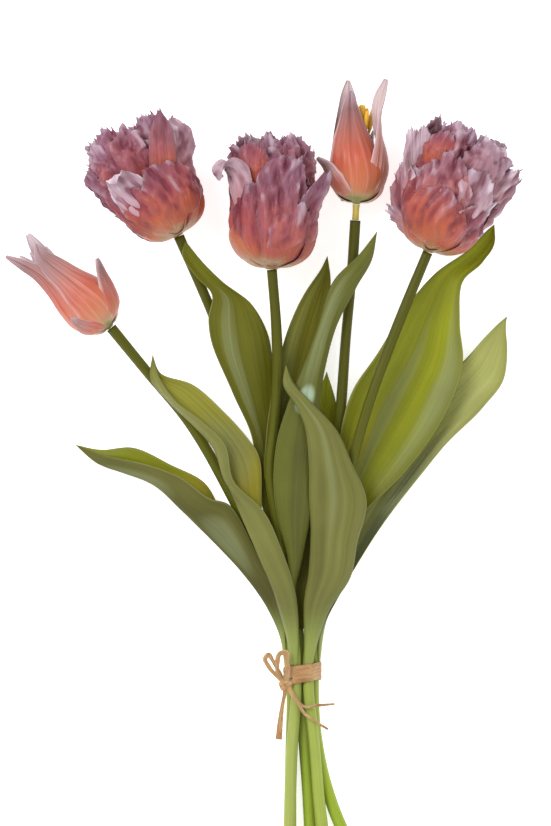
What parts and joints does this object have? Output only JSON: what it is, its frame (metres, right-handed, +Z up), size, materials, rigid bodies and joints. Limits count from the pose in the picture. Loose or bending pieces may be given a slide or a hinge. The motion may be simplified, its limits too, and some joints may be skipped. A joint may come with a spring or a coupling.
{
  "type": "parrot tulip bunch",
  "caption": "Cut parrot tulips, fringed blooms and lily-shaped buds with long leaves, tied with raffia and lying on a surface.",
  "frame": {"origin": "the middle of the tie's flat underside, on the surface that the bunch lies on", "axes": "+Z up from the surface, +Y from the cut ends towards the flower heads, +X to the right as seen from above"},
  "size_m": [0.3124, 0.4692, 0.0682],
  "materials": {
    "stem": "satin green plant tissue, paler towards the cut ends",
    "neck": "yellow-green, satin",
    "leaf": "satin olive green with fine lengthwise veins",
    "petal": "satin, salmon at the root turning to mauve and pale lilac at the fringed margin",
    "bud_petal": "satin, salmon orange with pale margins",
    "stamen": "matt golden yellow",
    "raffia": "matt tan fibre"
  },
  "bodies": {
    "root": {"stem_1": "stem", "stem_2": "stem", "stem_3": "stem", "stem_4": "stem", "stem_5": "stem", "neck_4": "neck", "leaf_1": "leaf", "leaf_2": "leaf", "leaf_3": "leaf", "leaf_4": "leaf", "leaf_5": "leaf", "leaf_6": "leaf", "leaf_7": "leaf", "leaf_8": "leaf", "leaf_9": "leaf", "bud_1": "bud_petal", "bloom_2": "petal", "bloom_3": "petal", "bud_4": "bud_petal", "centre_4": "stamen", "bloom_5": "petal", "raffia_band": "raffia", "raffia_bow": "raffia"}
  },
  "joints": []
}
